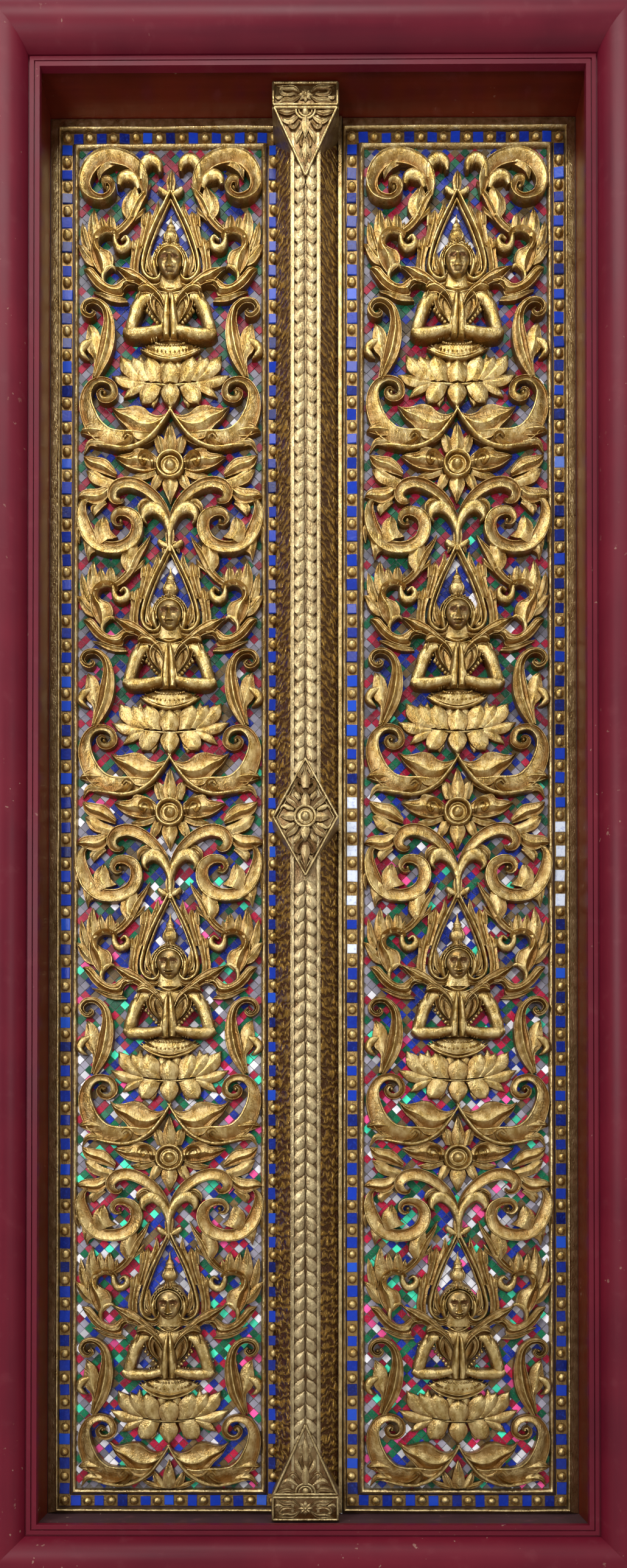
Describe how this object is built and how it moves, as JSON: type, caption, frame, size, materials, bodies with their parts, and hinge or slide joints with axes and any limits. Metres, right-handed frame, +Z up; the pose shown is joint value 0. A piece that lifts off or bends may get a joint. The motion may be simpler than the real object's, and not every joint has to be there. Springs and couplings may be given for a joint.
{
  "type": "carved temple door",
  "caption": "Tall two-leaf temple door with carved, gilded panels over glass mosaic, pearl borders, a post on the meeting edge and a half-round framed doorway.",
  "frame": {"origin": "under the middle of the door, on the ground, halfway through its depth", "axes": "+Z up, +X to the right seen from outside, -Y towards the viewer outside"},
  "size_m": [1.152, 0.181, 2.726],
  "materials": {
    "casing_paint": "aged crimson lacquer",
    "fillet_paint": "aged red lacquer with worn gilding",
    "frame_timber": "dark red lacquer",
    "sill_paint": "worn brownish purple paint",
    "leaf_timber": "dark stained planks",
    "gold_leaf": "gold leaf on carved wood",
    "post_gold": "gold leaf on carved wood",
    "blue_glass": "cobalt glass squares in gold joints",
    "mosaic_glass": "mirror-backed glass tesserae in grey grout"
  },
  "bodies": {
    "frame": {"sill": "sill_paint", "head": "frame_timber", "left_jamb": "frame_timber", "right_jamb": "frame_timber", "casing_top": "casing_paint", "casing_bottom": "casing_paint", "casing_left": "casing_paint", "casing_right": "casing_paint", "fillets_top": "fillet_paint", "fillets_bottom": "fillet_paint", "fillets_left": "fillet_paint", "fillets_right": "fillet_paint", "pivot_rail_top": "frame_timber", "pivot_rail_bottom": "frame_timber"},
    "left_leaf": {"left_hanging_stile": "leaf_timber", "left_board": "leaf_timber", "left_batten_bottom": "leaf_timber", "left_batten_middle": "leaf_timber", "left_batten_top": "leaf_timber", "left_outer_bead": "gold_leaf", "left_inner_bead": "gold_leaf", "left_border_glass": "blue_glass", "left_pearls": "gold_leaf", "left_mosaic": "mosaic_glass", "left_crown_carving": "gold_leaf", "left_figure_carving_1": "gold_leaf", "left_figure_carving_2": "gold_leaf", "left_figure_carving_3": "gold_leaf", "left_figure_carving_4": "gold_leaf", "left_flower_carving_1": "gold_leaf", "left_flower_carving_2": "gold_leaf", "left_flower_carving_3": "gold_leaf", "post": "post_gold", "braid_band": "gold_leaf", "post_cap_top": "gold_leaf", "post_cap_bottom": "gold_leaf", "post_lozenge": "gold_leaf"},
    "right_leaf": {"right_hanging_stile": "leaf_timber", "right_board": "leaf_timber", "right_batten_bottom": "leaf_timber", "right_batten_middle": "leaf_timber", "right_batten_top": "leaf_timber", "right_outer_bead": "gold_leaf", "right_inner_bead": "gold_leaf", "right_border_glass": "blue_glass", "right_pearls": "gold_leaf", "right_mosaic": "mosaic_glass", "right_crown_carving": "gold_leaf", "right_figure_carving_1": "gold_leaf", "right_figure_carving_2": "gold_leaf", "right_figure_carving_3": "gold_leaf", "right_figure_carving_4": "gold_leaf", "right_flower_carving_1": "gold_leaf", "right_flower_carving_2": "gold_leaf", "right_flower_carving_3": "gold_leaf"}
  },
  "joints": [
    {"name": "left_pivot", "type": "hinge", "parent": "frame", "child": "left_leaf", "pos_m": [-0.482, 0.0505, 0.105], "axis": [0, 0, 1], "range_deg": [0, 95]},
    {"name": "right_pivot", "type": "hinge", "parent": "frame", "child": "right_leaf", "pos_m": [0.482, 0.0505, 0.105], "axis": [0, 0, -1], "range_deg": [0, 95]}
  ]
}
